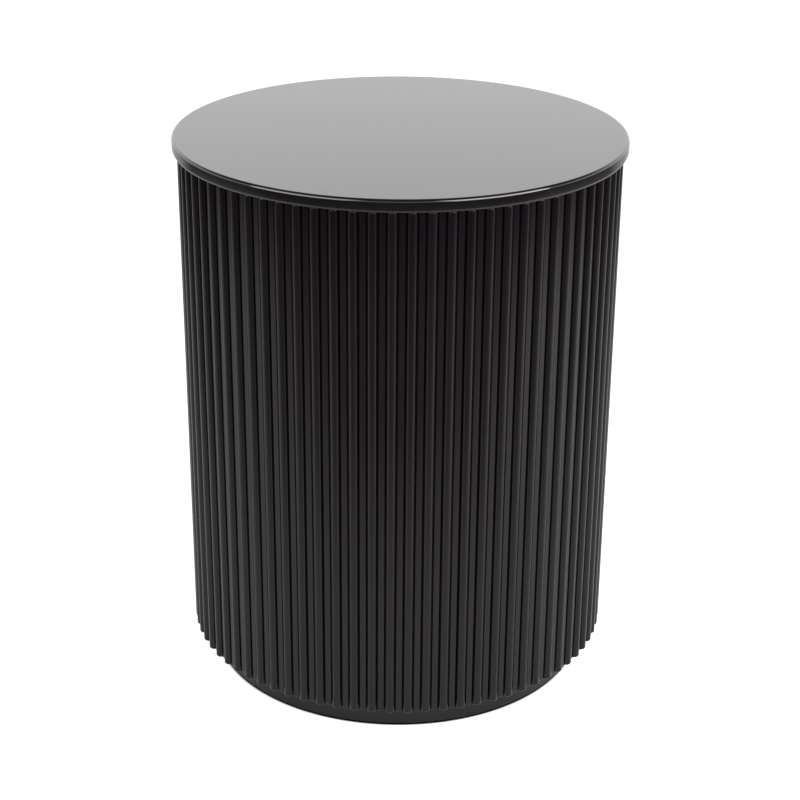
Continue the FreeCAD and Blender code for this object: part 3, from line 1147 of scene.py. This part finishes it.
def lay_disc(name: str, radius: float, height: float, sides: int = 96) -> Piece:
    """Lay a wide flat disc round the table.

    Args:
        name: The disc's name.
        radius: Its radius.
        height: Its height.
        sides: The number of its sides.

    Returns:
        The disc.
    """
    clear_selection()
    bpy.ops.mesh.primitive_circle_add(
        vertices=sides, radius=radius, location=(0.0, 0.0, height), fill_type="NGON"
    )
    return new_from_primitive(name)


@dataclass
class PaleFloor:
    """A pale floor that shows as white, keeps the table's shadow, and has a painted shadow under the plinth.
    """

    radius: float = 12.0
    colour: Colour = (0.80, 0.80, 0.80)
    second_tone: float = 0.99
    fibre_scale: float = 40.0
    glow: float = 0.74
    glow_in_gloss: float = 0.25
    # painted shadow: the paper's colour goes to black under the plinth, and its glow starts only outside it
    painted_shadow_on_paper: Fade = Fade(174.0 * MM, 175.0 * MM)
    glow_stops_for_painted_shadow: Fade = Fade(175.0 * MM, 176.5 * MM)

    def build(self) -> None:
        """Lay the floor, whose paper colour and glow both fade out at the plinth's foot: a painted shadow
        that leaves a dark line under the table.
        """
        floor = lay_disc("floor", self.radius, 0.0)
        shader = Shader(bpy.data.materials.new("floor paper"))
        away = shader.from_axis()
        fibres = shader.noise(shader.place(), self.fibre_scale)
        tone = shader.add("ShaderNodeVectorMath", operation="SCALE")
        other = tuple(self.second_tone * part for part in self.colour)
        shader.link(shader.blend(fibres, self.colour, other), tone.inputs[0])
        # painted shadow: the paper turns black under the plinth
        shader.link(self.painted_shadow_on_paper.of(shader, away), tone.inputs["Scale"])
        paper = shader.nodes.new("ShaderNodeBsdfDiffuse")
        shader.link(tone.outputs[0], paper.inputs["Color"])
        seen = seen_directly(shader, self.glow, self.glow_in_gloss)
        # painted shadow: no glow under the plinth's foot, so the gap there stays dark
        strength = shader.math("MULTIPLY", self.glow_stops_for_painted_shadow.of(shader, away), seen)
        glow = shader.add("ShaderNodeEmission", Color=WHITE)
        shader.link(strength, glow.inputs["Strength"])
        both = shader.nodes.new("ShaderNodeAddShader")
        shader.link(paper.outputs[0], both.inputs[0])
        shader.link(glow.outputs[0], both.inputs[1])
        output = shader.nodes.new("ShaderNodeOutputMaterial")
        shader.link(both.outputs[0], output.inputs["Surface"])
        floor.data.materials.append(shader.target)


@dataclass
class PaintedReflectionCard:
    """A dark card round the table that shows only in gloss: a painted reflection that darkens what glossy
    surfaces reflect of the floor.

    What it lets through fades by how far before the table a point is, by its distance, and by its bearing:
    -1 straight behind the table and 1 straight before it.
    """

    radius: float = 12.0
    height: float = 2.0 * MM
    colour: Colour = (0.02, 0.02, 0.02)
    second_tone: float = 1.2
    fibre_scale: float = 60.0
    open_near: Fade = Fade(-0.30, 0.36, 1.0, 0.85)
    open_before: Fade = Fade(0.36, 0.84, 1.0, 0.28)
    open_far: Fade = Fade(1.20, 1.80, 1.0, 0.16)
    open_behind: Fade = Fade(-0.75, -0.40, 1.0, 0.0, eased=True)

    def build(self) -> None:
        """Lay the card just above the floor."""
        card = lay_disc("painted_reflection_card", self.radius, self.height)
        shader = Shader(bpy.data.materials.new("card fading out"))
        place = shader.place()
        before = shader.math("MULTIPLY", shader.part(place, "Y"), -1.0)
        away = shader.from_axis()
        bearing = shader.math("DIVIDE", before, away)
        close_by = self.open_near.of(shader, before)
        in_front = shader.math("MULTIPLY", self.open_before.of(shader, before), close_by)
        beyond = shader.math("MAXIMUM", self.open_far.of(shader, away), self.open_behind.of(shader, bearing))
        fibres = shader.noise(place, self.fibre_scale)
        other = tuple(self.second_tone * part for part in self.colour)
        shader.surface(
            Base_Color=shader.blend(fibres, self.colour, other),
            Roughness=0.9,
            Alpha=shader.math("SUBTRACT", 1.0, shader.math("MULTIPLY", in_front, beyond)),
        )
        card.data.materials.append(shader.target)
        # seen only in gloss: the card is a painted reflection and casts no shadow
        card.visible_camera = False
        card.visible_diffuse = False
        card.visible_shadow = False


@dataclass
class SoftLamp:
    """One large soft lamp, aimed at a point on the table's axis."""

    name: str
    azimuth: float
    power: float
    distance: float = 1.5
    height: float = 1.0
    width: float = 1.46
    tall: float = 1.2
    aim: float = 0.30

    def hang(self) -> None:
        """Hang the lamp."""
        data = bpy.data.lights.new(self.name, "AREA")
        data.shape = "RECTANGLE"
        data.size = self.width
        data.size_y = self.tall
        data.energy = self.power
        lamp = bpy.data.objects.new(self.name, data)
        bpy.context.scene.collection.objects.link(lamp)
        lamp.location = (
            self.distance * math.sin(self.azimuth), -self.distance * math.cos(self.azimuth), self.height
        )
        to_table = Vector((0.0, 0.0, self.aim)) - Vector(lamp.location)
        lamp.rotation_euler = to_table.to_track_quat("-Z", "Y").to_euler()
        LOG.info("%s: %.0f W", self.name, self.power)


@dataclass
class Surround:
    """A world that is white where it is seen, with a dimmer ceiling, and lights the table softly."""

    ambient: float = 0.45
    ceiling: Fade = Fade(0.34, 0.60, 1.0, 0.10)

    def build(self) -> None:
        """Make the world white where it is seen, and a soft light elsewhere."""
        world = bpy.context.scene.world or bpy.data.worlds.new("World")
        bpy.context.scene.world = world
        shader = Shader(world)
        direction = shader.nodes.new("ShaderNodeTexCoord").outputs["Generated"]
        white = self.ceiling.of(shader, shader.part(direction, "Z"))
        seen = seen_directly(shader, 1.0, 1.0)
        unseen = shader.math("SUBTRACT", 1.0, seen)
        strength = shader.math(
            "ADD", shader.math("MULTIPLY", seen, white), shader.math("MULTIPLY", unseen, self.ambient)
        )
        background = shader.add("ShaderNodeBackground", Color=WHITE)
        shader.link(strength, background.inputs["Strength"])
        output = shader.nodes.new("ShaderNodeOutputWorld")
        shader.link(background.outputs[0], output.inputs["Surface"])


@dataclass
class StudioCamera:
    """The camera at the photograph's viewing angle."""

    place: tuple[float, float, float] = (0.0, -1.57918, 0.93669)
    looks_down: float = 0.41431
    roll: float = 0.0073
    focal_pixels: float = 1848.78
    centre_pixel: float = 398.57
    frame_pixels: float = 800.0
    sensor_width: float = 36.0

    def build(self) -> None:
        """Stand the camera up and make it the scene's."""
        data = bpy.data.cameras.new("camera")
        data.sensor_width = self.sensor_width
        data.lens = self.focal_pixels / self.frame_pixels * self.sensor_width
        data.shift_x = (self.frame_pixels / 2 - self.centre_pixel) / self.frame_pixels
        data.clip_start = 0.05
        data.clip_end = 100.0
        camera = bpy.data.objects.new("camera", data)
        bpy.context.scene.collection.objects.link(camera)
        tilt = Matrix.Rotation(math.pi / 2 - self.looks_down, 4, "X")
        camera.matrix_world = Matrix.Translation(self.place) @ tilt @ Matrix.Rotation(self.roll, 4, "Z")
        bpy.context.scene.camera = camera


@dataclass
class Studio:
    """A pale floor, a dark card that shows only in gloss as a painted reflection, two soft lamps, a pale
    surround and the camera.
    """

    lamps: tuple[SoftLamp, ...] = (
        SoftLamp("soft_lamp_left", math.radians(-48.0), 16.0),
        SoftLamp("soft_lamp_right", math.radians(48.0), 29.0),
    )

    def build(self) -> None:
        """Set the studio up round the table."""
        bpy.context.scene.view_settings.view_transform = "Standard"
        PaleFloor().build()
        PaintedReflectionCard().build()
        for lamp in self.lamps:
            lamp.hang()
        Surround().build()
        StudioCamera().build()


def main() -> None:
    """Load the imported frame, model and dress the table, and set up the studio."""
    logging.basicConfig(level=logging.INFO, format="%(message)s")
    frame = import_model()
    bpy.context.view_layer.update()
    steel = GrainedSurface(
        "zinc steel", (0.62, 0.62, 0.60), second_tone=0.8, roughness=(0.28, 0.42),
        grain_scale=900.0, grain_depth=0.01 * MM, detail=3.0, metallic=1.0,
    ).make()
    TableTop().build()
    BattenRing().build()
    DrumSheet().build()
    Plinth().build()
    ScrewRing("base_screws", ring_radius=149.0 * MM).build(steel)
    ScrewRing("plinth_screws", ring_radius=167.5 * MM).build(steel)
    CarriedNodes(frame["nodes"]).dress(steel)
    Studio().build()
    bpy.context.view_layer.update()


if __name__ == "__main__":
    main()
